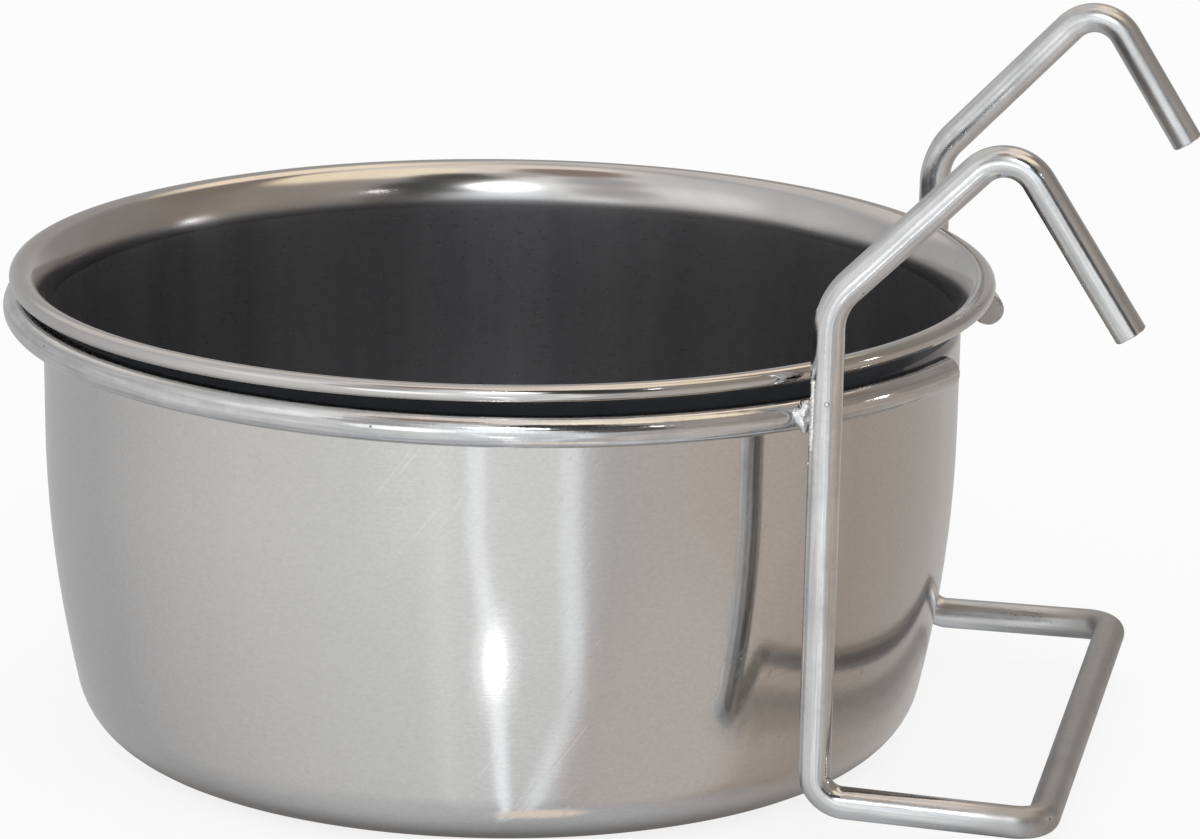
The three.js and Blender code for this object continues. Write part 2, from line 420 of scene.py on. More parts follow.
# Welds: balls in the contact of ring and upright, fused by a remesh and roughened
WELD_CORE = (1.0 * MM, 1.8 * MM, 1.6 * MM)
WELD_REACH = 1.75 * MM
WELD_RISE = 1.4 * MM
WELD_VOXEL = 0.14 * MM
WELD_ROUGHNESS = 0.09 * MM
COARSE_WAVES = 1100
FINE_WAVES = 2600
FINE_SHARE = 0.5
# A bowed row of lumps on either side: their number, size, random sizes, random shift in mm, and bow
LUMPS = 9
LUMP_RADIUS = 0.75 * MM
LUMP_SIZES = (0.7, 1.1)
LUMP_STRAY = 0.25
LUMP_BOW = 0.4 * MM
# The weld thins out along the ring in steps: each ball further on, further in and smaller
WING_BALLS = 5
WING_STEP = 0.55 * MM
WING_DROP = 0.28 * MM
WING_RADIUS = (1.15 * MM, 0.5 * MM)
WING_DEPTH = 0.7
WING_INSET = 0.4 * MM
WING_HEIGHT = 0.3 * MM
# A thin line of metal that the weld leaves along the upright
FLASH_RADIUS = 0.42 * MM
FLASH_LOW = -3.2 * MM
FLASH_HIGH = 4.6 * MM
FLASH_BALLS = 16
# Drops of spatter on the upright: their number, random sizes and heights in mm, turns in radians,
# and the share of their radius that is sunk in
DROPS = 6
DROP_SIZES = (0.2, 0.34)
DROP_HEIGHTS = (-6, 5)
DROP_TURN = 1.2
DROP_SUNK = 0.3


def add_ball(points, faces, centre, radii):
    """A coarse sphere, scaled along the axes, for remeshing into a weld."""
    first = len(points)
    for i in range(BALL_ROWS + 1):
        tilt = math.pi * i / BALL_ROWS
        for k in range(BALL_SIDES):
            turn = 2 * math.pi * k / BALL_SIDES
            unit = Vector((
                math.sin(tilt) * math.cos(turn),
                math.sin(tilt) * math.sin(turn),
                math.cos(tilt),
            ))
            points.append(centre + Vector(u * r for u, r in zip(unit, radii)))
    for i in range(BALL_ROWS):
        for k in range(BALL_SIDES):
            a = first + i * BALL_SIDES + k
            b = first + i * BALL_SIDES + (k + 1) % BALL_SIDES
            faces.append((a, a + BALL_SIDES, b + BALL_SIDES, b))


def add_lumps(points, faces, contact, aside):
    """The bead's lumps on one side of the contact."""
    middle = (LUMPS - 1) / 2
    for i in range(LUMPS):
        share = i / middle - 1
        spot = contact + Vector((
            random.uniform(-LUMP_STRAY, LUMP_STRAY) * MM,
            aside * (WELD_REACH - LUMP_BOW * share * share),
            share * WELD_RISE,
        ))
        lump = LUMP_RADIUS * random.uniform(*LUMP_SIZES)
        add_ball(points, faces, spot, (lump, lump, lump))


def add_wing(points, faces, aside):
    """The thin end of the bead along the ring, on one side of the contact."""
    for i in range(WING_BALLS):
        size = WING_RADIUS[0] + (WING_RADIUS[1] - WING_RADIUS[0]) * i / (WING_BALLS - 1)
        spot = Vector((
            ring_radius + WIRE_RADIUS - WING_INSET - i * WING_DROP,
            aside * (WELD_REACH + i * WING_STEP),
            WING_HEIGHT,
        ))
        add_ball(points, faces, spot, (size * WING_DEPTH, size, size))


def add_flash(points, faces, side):
    """The thin line of metal along the outer side of the upright."""
    for i in range(FLASH_BALLS):
        climb = FLASH_LOW + (FLASH_HIGH - FLASH_LOW) * i / (FLASH_BALLS - 1)
        spot = Vector((upright_radius, side * WIRE_RADIUS, climb))
        add_ball(points, faces, spot, (FLASH_RADIUS, FLASH_RADIUS, FLASH_RADIUS))


def add_drops(points, faces):
    """Spatter about the two flanks of the upright."""
    for _ in range(DROPS):
        drop = random.uniform(*DROP_SIZES) * MM
        turn = random.uniform(-DROP_TURN, DROP_TURN)
        outward = math.cos(turn + math.pi / 2 * random.choice((-1, 1)))
        sideways = math.sin(turn + math.pi / 2 * random.choice((-1, 1)))
        reach = WIRE_RADIUS - drop * DROP_SUNK
        climb = random.uniform(*DROP_HEIGHTS) * MM
        spot = Vector((upright_radius + reach * outward, reach * sideways, climb))
        add_ball(points, faces, spot, (drop, drop, drop))


def make_weld(name, replaced, side, material):
    """A rough bead squeezed out between the ring and an upright, with a few drops of spatter."""
    contact = Vector((ring_radius + WIRE_RADIUS + WELD_GAP / 2, 0, 0))
    points = []
    faces = []
    add_ball(points, faces, contact, WELD_CORE)
    for aside in (-1, 1):
        add_lumps(points, faces, contact, aside)
    for aside in (-1, 1):
        add_wing(points, faces, aside)
    add_flash(points, faces, side)
    add_drops(points, faces)
    turn = math.atan2(side * UPRIGHT_HALF_SPREAD, upright_reach)
    place = holder_place @ Matrix.Rotation(turn, 4, "Z")
    bead = mesh_object(name, points, faces, [material], [0] * len(faces), place)
    remesh = bead.modifiers.new("fuse", "REMESH")
    remesh.mode = "VOXEL"
    remesh.voxel_size = WELD_VOXEL
    remesh.use_smooth_shade = True
    bake_modifiers(bead)
    for vertex in bead.data.vertices:
        rough = noise.noise(vertex.co * COARSE_WAVES) + FINE_SHARE * noise.noise(vertex.co * FINE_WAVES)
        vertex.co += vertex.normal * rough * WELD_ROUGHNESS
    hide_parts(replaced)
    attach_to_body(bead, BODY_HOLDER)


def bake_modifiers(piece):
    """Replaces a piece's mesh by what its modifiers make of it."""
    graph = bpy.context.evaluated_depsgraph_get()
    made = bpy.data.meshes.new_from_object(piece.evaluated_get(graph))
    piece.modifiers.clear()
    piece.data = made
    made.shade_smooth()


# Material helpers
def new_tree(name):
    """An empty material and its tree."""
    material = bpy.data.materials.new(name)
    material.use_nodes = True
    material.node_tree.nodes.clear()
    return material, material.node_tree


def node(tree, kind, settings=None, **inputs):
    """A shader node with its settings, and its inputs set by name to a value or a socket."""
    made = tree.nodes.new("ShaderNode" + kind)
    for key, value in (settings or {}).items():
        setattr(made, key, value)
    for key, value in inputs.items():
        attach(tree, made.inputs[key.replace("_", " ")], value)
    return made


def attach(tree, socket, value):
    """Links a socket to an input, or sets the input to a value."""
    if isinstance(value, bpy.types.NodeSocket):
        tree.links.new(value, socket)
    else:
        socket.default_value = value


def maths(tree, operation, *values):
    """The result of an operation on values or sockets."""
    made = tree.nodes.new("ShaderNodeMath")
    made.operation = operation
    for socket, value in zip(made.inputs, values):
        attach(tree, socket, value)
    return made.outputs[0]


def added(tree, value, extra, share):
    """value plus a share of extra."""
    return maths(tree, "ADD", value, maths(tree, "MULTIPLY", extra, share))


def remap(tree, value, low, high, to_low, to_high, smooth=False):
    """value from low..high to to_low..to_high, clamped."""
    made = node(
        tree, "MapRange",
        {"interpolation_type": "SMOOTHSTEP" if smooth else "LINEAR"},
        Value=value, From_Min=low, From_Max=high, To_Min=to_low, To_Max=to_high,
    )
    return made.outputs[0]


def stretched_noise(tree, coordinates, waves, detail=2.0, roughness=0.5):
    """Noise between 0 and 1, with its own waves per metre along each axis."""
    mapped = node(tree, "Mapping", Vector=coordinates, Scale=waves)
    made = node(
        tree, "TexNoise", Vector=mapped.outputs[0], Scale=1.0, Detail=detail, Roughness=roughness,
    )
    return made.outputs["Fac"]


def blend_colour(tree, factor, first, second):
    """The first colour where factor is 0, the second where it is 1."""
    made = node(tree, "Mix", {"data_type": "RGBA"})
    attach(tree, made.inputs[0], factor)
    attach(tree, made.inputs[6], first)
    attach(tree, made.inputs[7], second)
    return made.outputs[2]


def tint(tree, factor, dark, light):
    """A colour between two tones."""
    return blend_colour(tree, factor, (*dark, 1), (*light, 1))


def specks(tree, coordinates, spacing, size, share):
    """Small round specks: 1 in a share of the cells of that spacing, else 0."""
    mapped = node(tree, "Mapping", Vector=coordinates, Scale=(1 / spacing,) * 3)
    cells = node(tree, "TexVoronoi", Vector=mapped.outputs[0], Scale=1.0, Randomness=1.0)
    edge = size / spacing
    near = remap(tree, cells.outputs["Distance"], edge / 2, edge, 1, 0)
    chance = node(tree, "SeparateColor", Color=cells.outputs["Color"]).outputs[0]
    return maths(tree, "MULTIPLY", near, maths(tree, "LESS_THAN", chance, share))


def marked(tree, colour, marks, strength, tone):
    """A colour with marks of another tone on it."""
    return blend_colour(tree, maths(tree, "MULTIPLY", marks, strength), colour, (*tone, 1))


def object_place(tree):
    """The place on the object, in metres."""
    return node(tree, "TexCoord").outputs["Object"]


def height_of(tree, spot):
    """The height of a place."""
    return node(tree, "SeparateXYZ", Vector=spot).outputs[2]


# A quarter turn puts the long side of stretched highlights across lines that run round the axis
QUARTER_TURN = 0.25


def metal(tree, colour, roughness, height, distance, metallic=1.0, specular=0.5, round_lines=0.0):
    """The shader that every steel finish ends in; lines round the axis can stretch its highlights."""
    bump = node(tree, "Bump", Strength=1.0, Distance=distance, Height=height)
    shader = node(
        tree, "BsdfPrincipled", Base_Color=colour, Metallic=metallic, Roughness=roughness,
        Normal=bump.outputs[0], Specular_IOR_Level=specular,
    )
    if round_lines:
        round_way = node(tree, "Tangent", {"direction_type": "RADIAL", "axis": "Z"})
        attach(tree, shader.inputs["Anisotropic"], round_lines)
        attach(tree, shader.inputs["Anisotropic Rotation"], QUARTER_TURN)
        attach(tree, shader.inputs["Tangent"], round_way.outputs[0])
    out = node(tree, "OutputMaterial")
    tree.links.new(shader.outputs[0], out.inputs[0])


# Finishes. Tones come in pairs, dark and light; noises in waves per metre along the three axes; specks
# by the spacing of their cells, their size and the share of cells that hold one.
# Most values of a noise lie in this span
NOISE_SPAN = (0.3, 0.7)

# The polished outside
OUTSIDE_TONES = ((0.50, 0.492, 0.482), (0.58, 0.572, 0.56))
OUTSIDE_CLOUDS = (34, 34, 20)
GRAIN_TONES = ((0.36, 0.36, 0.36), (0.72, 0.705, 0.69))
GRAIN_SHARE = 0.35
GRAIN = (1500, 1500, 2600)
POLISH_LINES = (110, 110, 3600)
BRUSH_LINES = (350, 350, 4200)
DUST = (4.5 * MM, 0.13 * MM, 0.2)
DUST_TONE = (0.86, 0.86, 0.84)
DUST_STRENGTH = 0.7
PITS = (9 * MM, 0.2 * MM, 0.12)
PIT_TONE = (0.12, 0.11, 0.1)
PIT_STRENGTH = 0.6
DINGS = (2.6 * MM, 0.13 * MM, 0.3)
OUTSIDE_ROUGHNESS = (0.075, 0.13)
SCRATCH_ROUGHNESS = 0.1
DUST_ROUGHNESS = 0.3
OUTSIDE_ROUND_LINES = 0.6
# Heights of the bumps, as shares of the polishing lines' own
OUTSIDE_BUMP = 0.0022 * MM
GRAIN_BUMP = 0.9
SCRATCH_BUMP = -0.7
BRUSH_BUMP = 1.1
DING_BUMP = -12.0
# Scratches: their turn about the three axes, their waves, and the span of noise over which they show
SCRATCH_TURN = (0.3, 0.9, 0.2)
SCRATCH_WAVES = (40, 1500, 1500)
SCRATCH_SPAN = (0.68, 0.73)
# The painted shade behind the ring, dark as the recess under the flare, starts on the wall over this height
GROOVE_SHADE_START = (51.9 * MM, 53.3 * MM)
# Painted shade under the flare: dark tones, dull and not metallic
GROOVE_SHADE_TONES = ((0.03, 0.034, 0.042), (0.07, 0.075, 0.085))
GROOVE_SHADE_NOISE = (160, 160, 400)
GROOVE_ROUGHNESS = (0.5, 0.65)
GROOVE_SPECULAR = 0.2
GROOVE_BUMP = 0.01 * MM


def steel_outside():
    """Polished drawn steel: near mirror, fine polishing lines, cloudy film, specks."""
    material, tree = new_tree("polished_outside")
    spot = object_place(tree)
    clouds = stretched_noise(tree, spot, OUTSIDE_CLOUDS, detail=5.0, roughness=0.65)
    lines = stretched_noise(tree, spot, POLISH_LINES, detail=2.0, roughness=0.7)
    grain = stretched_noise(tree, spot, GRAIN, detail=3.0, roughness=0.7)
    brush = stretched_noise(tree, spot, BRUSH_LINES, detail=2.0, roughness=0.6)
    turned = node(tree, "Mapping", Vector=spot, Rotation=SCRATCH_TURN).outputs[0]
    scratched = stretched_noise(tree, turned, SCRATCH_WAVES, detail=1.0)
    scratches = remap(tree, scratched, *SCRATCH_SPAN, 0, 1)
    dust = specks(tree, spot, *DUST)
    # Painted shade: the wall's top behind the ring turns dark and less metallic
    groove_shade_mask = remap(tree, height_of(tree, spot), *GROOVE_SHADE_START, 0, 1, smooth=True)

    colour = blend_colour(
        tree, GRAIN_SHARE, tint(tree, clouds, *OUTSIDE_TONES), tint(tree, grain, *GRAIN_TONES),
    )
    colour = marked(tree, colour, dust, DUST_STRENGTH, DUST_TONE)
    colour = marked(tree, colour, specks(tree, spot, *PITS), PIT_STRENGTH, PIT_TONE)
    colour = blend_colour(tree, groove_shade_mask, colour, (*GROOVE_SHADE_TONES[0], 1))

    rough = remap(tree, lines, *NOISE_SPAN, *OUTSIDE_ROUGHNESS)
    rough = added(tree, rough, scratches, SCRATCH_ROUGHNESS)
    rough = added(tree, rough, dust, DUST_ROUGHNESS)

    bumps = added(tree, lines, grain, GRAIN_BUMP)
    bumps = added(tree, bumps, scratches, SCRATCH_BUMP)
    bumps = added(tree, bumps, brush, BRUSH_BUMP)
    bumps = added(tree, bumps, specks(tree, spot, *DINGS), DING_BUMP)

    # Less metallic where the painted shade lies
    unshaded_metallic = maths(tree, "SUBTRACT", 1.0, groove_shade_mask)
    metal(tree, colour, rough, bumps, OUTSIDE_BUMP, metallic=unshaded_metallic, round_lines=OUTSIDE_ROUND_LINES)
    return material


def groove_painted_shade():
    """The underside of the flare: dull, and painted dark as shade where the ring sits."""
    material, tree = new_tree("groove_painted_shade")
    stain = stretched_noise(tree, object_place(tree), GROOVE_SHADE_NOISE, detail=4.0, roughness=0.6)
    colour = tint(tree, stain, *GROOVE_SHADE_TONES)
    rough = remap(tree, stain, *NOISE_SPAN, *GROOVE_ROUGHNESS)
    metal(tree, colour, rough, stain, GROOVE_BUMP, metallic=0.0, specular=GROOVE_SPECULAR)
    return material


# The dull inside, painted dark as shade, and the brighter flare run into each other over this height
FLARE_LIT = (53.0 * MM, 56.2 * MM)
# The inside's tones and its streaks' tones are painted shade, far darker than the flare's
INSIDE_SHADE_TONES = ((0.215, 0.218, 0.236), (0.262, 0.257, 0.266))
INSIDE_CLOUDS = (24, 24, 30)
SHADED_STREAK_TONES = ((0.19, 0.19, 0.205), (0.37, 0.37, 0.38))
STREAK_SHARE = 0.3
INSIDE_STREAKS = (150, 150, 9)
INSIDE_FINE = (900, 900, 2600)
INSIDE_ROUGHNESS = (0.27, 0.31)
INSIDE_METALLIC = 0.87
INSIDE_BUMP = 0.0001 * MM
FLARE_TONES = ((0.46, 0.45, 0.44), (0.60, 0.59, 0.575))
FLARE_WEAR = (110, 110, 300)
NICKS = (3.5 * MM, 0.2 * MM, 0.3)
NICK_TONE = (0.2, 0.19, 0.18)
NICK_STRENGTH = 0.6
NICK_BUMP = -1.2
RIM_LINES = (160, 160, 5200)
RIM_BUMP = 0.0012 * MM
RIM_ROUND_LINES = 0.3
# The roughness falls up the flare, and by a little more up the bead
FLARE_ROUGHNESS = (0.29, 0.17)
BEAD_SMOOTHER = (0, -0.08)


def inside_to_flare(tree, spot):
    """The inside's colour, painted dark as shade, low on the wall, turning into the flare's towards the
    rim.
    """
    clouds = stretched_noise(tree, spot, INSIDE_CLOUDS, detail=4.0, roughness=0.6)
    streaks = stretched_noise(tree, spot, INSIDE_STREAKS, detail=3.0, roughness=0.6)
    streaked = tint(tree, remap(tree, streaks, *NOISE_SPAN, 0, 1), *SHADED_STREAK_TONES)
    inside = blend_colour(tree, STREAK_SHARE, tint(tree, clouds, *INSIDE_SHADE_TONES), streaked)
    wear = stretched_noise(tree, spot, FLARE_WEAR, detail=4.0, roughness=0.65)
    lit = remap(tree, height_of(tree, spot), *FLARE_LIT, 0, 1, smooth=True)
    return blend_colour(tree, lit, inside, tint(tree, wear, *FLARE_TONES))


def steel_rim():
    """The flare and rolled rim: satin inside and painted dark as shade low down, brighter on the bead,
    lines round it and small nicks.
    """
    material, tree = new_tree("polished_rim")
    spot = object_place(tree)
    height = height_of(tree, spot)
    lines = stretched_noise(tree, spot, RIM_LINES, detail=2.0, roughness=0.7)
    nicks = specks(tree, spot, *NICKS)
    colour = marked(tree, inside_to_flare(tree, spot), nicks, NICK_STRENGTH, NICK_TONE)
    on_flare = remap(tree, height, flare_height, FLARE_LIT[1], *FLARE_ROUGHNESS)
    on_bead = remap(tree, height, rim_underside, bead_centre[1], *BEAD_SMOOTHER)
    rough = maths(tree, "ADD", on_flare, on_bead)
    bumps = added(tree, lines, nicks, NICK_BUMP)
    metal(tree, colour, rough, bumps, RIM_BUMP, round_lines=RIM_ROUND_LINES)
    return material


def steel_inside():
    """The satin inside, painted dark as shade, with faint drawing streaks up the wall."""
    material, tree = new_tree("shaded_satin_inside")
    spot = object_place(tree)
    fine = stretched_noise(tree, spot, INSIDE_FINE, detail=2.0)
    colour = inside_to_flare(tree, spot)
    rough = remap(tree, fine, *NOISE_SPAN, *INSIDE_ROUGHNESS)
    metal(
        tree, colour, rough, fine, INSIDE_BUMP,
        metallic=INSIDE_METALLIC, round_lines=RIM_ROUND_LINES,
    )
    return material


# Drawn wire
WIRE_TONES = ((0.46, 0.46, 0.465), (0.72, 0.72, 0.72))
WIRE_STREAKS = (1700, 1700, 45)
WIRE_FINE = (5200, 5200, 260)
WIRE_WAVES = (480, 480, 330)
# A dull film lies where its noise is high
WIRE_FILM = (150, 150, 150)
FILM_TONE = (0.42, 0.425, 0.43)
FILM_TINTS = (0.45, 0.7)
FILM_STRENGTH = 0.6
FILM_DULLS = (0.45, 0.75)
FILM_ROUGHNESS = 0.14
# The foot of the holder is duller, most of all its crossbar: below this height, and beyond this distance
DULL_BELOW = (15 * MM, 9 * MM)
DULL_BEYOND = (62 * MM, 69 * MM)
FOOT_STAIN = 0.2
BAR_STAIN = 0.5
BAR_ROUGHNESS = 0.26
STAIN_TONES = ((0.30, 0.297, 0.295), (0.41, 0.407, 0.40))
STAIN_MOTTLE = (600, 600, 600)
# The holder is more satin on its far side
SATIN_BEYOND = (-10 * MM, 30 * MM)
SATIN_ROUGHNESS = 0.13
WIRE_PITS = (3.2 * MM, 0.22 * MM, 0.2)
WIRE_PIT_TONE = (0.08, 0.075, 0.07)
WIRE_PIT_STRENGTH = 0.75
# Heights of the bumps, as shares of the streaks' own
WIRE_BUMP = 0.007 * MM
FINE_BUMP = 0.5
WIRE_PIT_BUMP = -2.0
WAVE_BUMP = 5.0
# The ring is smoother than the frame
RING_ROUGHNESS = (0.05, 0.09)
FRAME_ROUGHNESS = (0.10, 0.18)
# The sheared ends
CUT_TONES = ((0.20, 0.185, 0.17), (0.42, 0.40, 0.375))
CUT_TORN = (1500, 1500, 700)
CUT_ROUGHNESS = (0.35, 0.55)
CUT_BUMP = 0.04 * MM
# The welds
WELD_TONES = ((0.56, 0.56, 0.56), (0.80, 0.80, 0.80))
WELD_SCALE = (500, 500, 500)
WELD_PITTING = (1400, 1400, 1400)
WELD_SHINE = (0.14, 0.3)
WELD_BUMP = 0.025 * MM


def drawn_wire(name, roughness):
    """Drawn steel wire: streaks along its length, a dull film, stains at its foot and a few dark pits."""
    material, tree = new_tree(name)
    spot = object_place(tree)
    drawn = node(tree, "Attribute", {"attribute_name": "drawn_lines"}).outputs["Vector"]
    streaks = stretched_noise(tree, drawn, WIRE_STREAKS, detail=3.0, roughness=0.7)
    fine = stretched_noise(tree, drawn, WIRE_FINE, detail=2.0, roughness=0.6)
    waves = stretched_noise(tree, drawn, WIRE_WAVES, detail=3.0, roughness=0.6)
    film = stretched_noise(tree, spot, WIRE_FILM, detail=5.0, roughness=0.7)
    mottle = stretched_noise(tree, spot, STAIN_MOTTLE, detail=4.0, roughness=0.7)
    pits = specks(tree, spot, *WIRE_PITS)
    towards_cage, away, height = node(tree, "SeparateXYZ", Vector=spot).outputs
    foot = remap(tree, height, *DULL_BELOW, 0, 1, smooth=True)
    beyond = remap(tree, towards_cage, *DULL_BEYOND, 0, 1, smooth=True)
    bar = maths(tree, "MULTIPLY", foot, beyond)

    colour = tint(tree, remap(tree, streaks, *NOISE_SPAN, 0, 1), *WIRE_TONES)
    filmed = remap(tree, film, *FILM_TINTS, 0, FILM_STRENGTH)
    colour = blend_colour(tree, filmed, colour, (*FILM_TONE, 1))
    stain = added(tree, maths(tree, "MULTIPLY", foot, FOOT_STAIN), bar, BAR_STAIN)
    stained = tint(tree, remap(tree, mottle, *NOISE_SPAN, 0, 1), *STAIN_TONES)
    colour = blend_colour(tree, stain, colour, stained)
    colour = marked(tree, colour, pits, WIRE_PIT_STRENGTH, WIRE_PIT_TONE)

    rough = remap(tree, streaks, *NOISE_SPAN, *roughness)
    rough = maths(tree, "ADD", rough, remap(tree, film, *FILM_DULLS, 0, FILM_ROUGHNESS))
    rough = added(tree, rough, bar, BAR_ROUGHNESS)
    rough = maths(tree, "ADD", rough, remap(tree, away, *SATIN_BEYOND, 0, SATIN_ROUGHNESS))

    bumps = added(tree, streaks, fine, FINE_BUMP)
    bumps = added(tree, bumps, pits, WIRE_PIT_BUMP)
    bumps = added(tree, bumps, waves, WAVE_BUMP)
    metal(tree, colour, rough, bumps, WIRE_BUMP)
    return material


def cut_face():
    """The sheared ends of the wire: torn, darker metal."""
    material, tree = new_tree("cut_face")
    torn = stretched_noise(tree, object_place(tree), CUT_TORN, detail=4.0, roughness=0.7)
    rough = remap(tree, torn, *NOISE_SPAN, *CUT_ROUGHNESS)
    metal(tree, tint(tree, torn, *CUT_TONES), rough, torn, CUT_BUMP)
    return material


def weld_metal():
    """The weld beads: bright, lumpy and pitted."""
    material, tree = new_tree("weld_metal")
    spot = object_place(tree)
    lumps = stretched_noise(tree, spot, WELD_PITTING, detail=3.0, roughness=0.6)
    scale = stretched_noise(tree, spot, WELD_SCALE, detail=3.0, roughness=0.6)
    rough = remap(tree, lumps, *NOISE_SPAN, *WELD_SHINE)
    metal(tree, tint(tree, scale, *WELD_TONES), rough, lumps, WELD_BUMP)
    return material


# Studio: the floor
FLOOR_HALF_WIDTH = 6.0
FLOOR_TONE = (0.93, 0.93, 0.93, 1)
WHITE = (1, 1, 1, 1)
FLOOR_WHITE = 0.84
# What metal mirrors of the floor is the room below it, darker near the object: its tone there, how far
# the object is felt, and the rays that are sent out for it
FLOOR_SHADE = (0.16, 0.15, 0.145, 1)
FLOOR_SHADE_REACH = 14 * MM
FLOOR_SHADE_RAYS = 8
# The share of open sky over which it darkens, under the bowl and beside the foot's wire,
# which is shaded by a sky that leans away from the bowl, beyond this distance
BOWL_SHADE = (0.08, 0.5)
FOOT_SHADE = (0.72, 0.84)
FOOT_SKY = (0.86, 0.0, 0.51)
FOOT_BEYOND = (52 * MM, 58 * MM)


def open_sky(tree, **normal):
    """The share of the sky that nothing near covers."""
    made = node(
        tree, "AmbientOcclusion", {"samples": FLOOR_SHADE_RAYS}, Distance=FLOOR_SHADE_REACH, **normal,
    )
    return made.outputs["AO"]


def mix(tree, factor, first, second):
    """The first shader where factor is 0, the second where it is 1."""
    made = node(tree, "MixShader", Fac=factor)
    tree.links.new(first.outputs[0], made.inputs[1])
    tree.links.new(second.outputs[0], made.inputs[2])
    return made


def make_floor():
    """A plain pale floor that keeps the object's soft shadow; metal mirrors the room and that shadow."""
    material, tree = new_tree("pale_floor")
    rays = node(tree, "LightPath").outputs
    lit = node(tree, "BsdfDiffuse", Color=FLOOR_TONE)
    white = node(tree, "Emission", Color=WHITE, Strength=1.0)
    seen = mix(tree, maths(tree, "MULTIPLY", rays["Is Camera Ray"], FLOOR_WHITE), lit, white)

    lean = node(tree, "CombineXYZ", X=FOOT_SKY[0], Y=FOOT_SKY[1], Z=FOOT_SKY[2]).outputs[0]
    towards_cage = node(tree, "SeparateXYZ", Vector=object_place(tree)).outputs[0]
    by_bowl = remap(tree, open_sky(tree), *BOWL_SHADE, 1, 0)
    by_foot = remap(tree, open_sky(tree, Normal=lean), *FOOT_SHADE, 1, 0)
    by_foot = maths(tree, "MULTIPLY", by_foot, remap(tree, towards_cage, *FOOT_BEYOND, 0, 1))
    clear = node(tree, "BsdfTransparent")
    dark = node(tree, "Emission", Color=FLOOR_SHADE, Strength=1.0)
    mirrored = mix(tree, maths(tree, "MAXIMUM", by_bowl, by_foot), clear, dark)

    out = node(tree, "OutputMaterial")
    tree.links.new(mix(tree, rays["Is Glossy Ray"], seen, mirrored).outputs[0], out.inputs[0])
    size = FLOOR_HALF_WIDTH
    corners = [(-size, -size, 0), (size, -size, 0), (size, size, 0), (-size, size, 0)]
    floor = mesh_object("floor", corners, [(0, 1, 2, 3)], [material], [0])


# The room that the metal mirrors, by azimuth from the camera's side (positive to the right) in degrees
ROOM_TONES = (
    (-180, (0.50, 0.50, 0.50)),
    (-120, (0.62, 0.62, 0.63)),
    (-65, (0.93, 0.93, 0.92)),
    (-20, (1.05, 1.06, 1.05)),
    (-14, (1.17, 1.19, 1.18)),
    (-11, (1.12, 1.13, 1.14)),
    (18, (1.06, 1.07, 1.08)),
    (22, (0.84, 0.84, 0.86)),
    (28, (0.69, 0.68, 0.66)),
    (46, (0.69, 0.62, 0.57)),
    (75, (0.67, 0.58, 0.51)),
    (100, (0.54, 0.47, 0.42)),
    (150, (0.60, 0.57, 0.54)),
    (180, (0.50, 0.50, 0.50)),
)
# A colour ramp holds tones up to 1, so they are divided by this and multiplied again
BRIGHTEST = 4.0
# Heights in the room are sines of the elevation. Low down the room is dimmer, then gives way to a table
DIM_BELOW = (-0.3, -0.9)
DIM_LEVEL = 0.8
TABLE_BELOW = (-0.72, -0.97)
TABLE_TONE = (0.70, 0.715, 0.74)
# The right side is shaded above the table, over these shares of the way to the right
SIDE_SHADE = 0.35
SIDE_ABOVE = (-0.2, 0.15)
SIDE_BEYOND = (0.15, 0.5)

# Leaning strip lights: heights and azimuths in degrees of their top, middle and bottom,
# then the half width in degrees and the strength
STRIPS = (
    ((-0.28, -5.6), (-0.49, 0.0), (-0.88, 4.2), 3.4, 0.6),
    ((-0.28, 18.0), (-0.56, 21.5), (-0.70, 13.0), 4.5, 0.35),
)
STRIP_TONE = (1.85, 1.93, 2.02)
# The share of the half width that is fully lit, and the strips' fading towards their top
STRIP_CORE = 0.2
STRIP_FADES = (-0.45, -0.15)
STRIP_FADED = 0.4

# Round patches, later ones over earlier: azimuth, elevation, inner and outer radius in degrees, and tone
ROOM_PATCHES = (
    (20, 80, 12, 30, (1.22, 1.08, 0.98)),
    (45, 63, 7, 16, (1.50, 1.33, 1.05)),
    (70, 60, 7, 16, (1.45, 1.22, 0.92)),
    (108, 50, 7, 17, (0.35, 0.29, 0.24)),
    (150, 60, 8, 20, (1.50, 1.25, 1.00)),
    (-148, 46, 16, 30, (0.90, 0.86, 0.82)),
    (176, 24, 8, 18, (0.50, 0.47, 0.45)),
    (48, -38, 12, 26, (0.74, 0.69, 0.655)),
    (-52, 26, 8, 22, (1.20, 1.20, 1.20)),
    (-22, -1, 8, 15, (1.85, 1.88, 1.90)),
    (28, 10, 7, 14, (0.14, 0.13, 0.12)),
    (20, 30, 13, 17, (0.07, 0.07, 0.07)),
    (-27, 64, 6, 13, (0.42, 0.33, 0.28)),
    (-29, 44, 6, 12, (0.60, 0.57, 0.56)),
    (-30, 24, 7, 14, (0.62, 0.60, 0.60)),
    (16, 49, 8, 13, (0.08, 0.08, 0.08)),
    (-4, 56, 3, 8, (0.70, 0.66, 0.62)),
    (0, 9, 5, 12, (1.50, 1.60, 1.68)),
    (2, 30, 4, 10, (4.20, 4.30, 4.40)),
    (25, -72, 4, 10, (1.25, 1.08, 0.92)),
    (0, -29.5, 2.0, 7.0, (1.40, 1.43, 1.46)),
    (0, -29.5, 1.4, 3.4, (3.20, 3.25, 3.30)),
)


def dot(tree, first, second):
    """The product of two directions."""
    made = node(tree, "VectorMath", {"operation": "DOT_PRODUCT"})
    attach(tree, made.inputs[0], first)
    attach(tree, made.inputs[1], second)
    return made.outputs["Value"]


def scaled(tree, colour, factor):
    """A colour times a factor."""
    made = node(tree, "VectorMath", {"operation": "SCALE"})
    attach(tree, made.inputs[0], colour)
    attach(tree, made.inputs["Scale"], factor)
    return made.outputs[0]


def room_direction(azimuth, elevation):
    """A unit vector in the room: right, towards the camera, up."""
    turn = math.radians(azimuth)
    tilt = math.radians(elevation)
    return (math.sin(turn) * math.cos(tilt), math.cos(turn) * math.cos(tilt), math.sin(tilt))


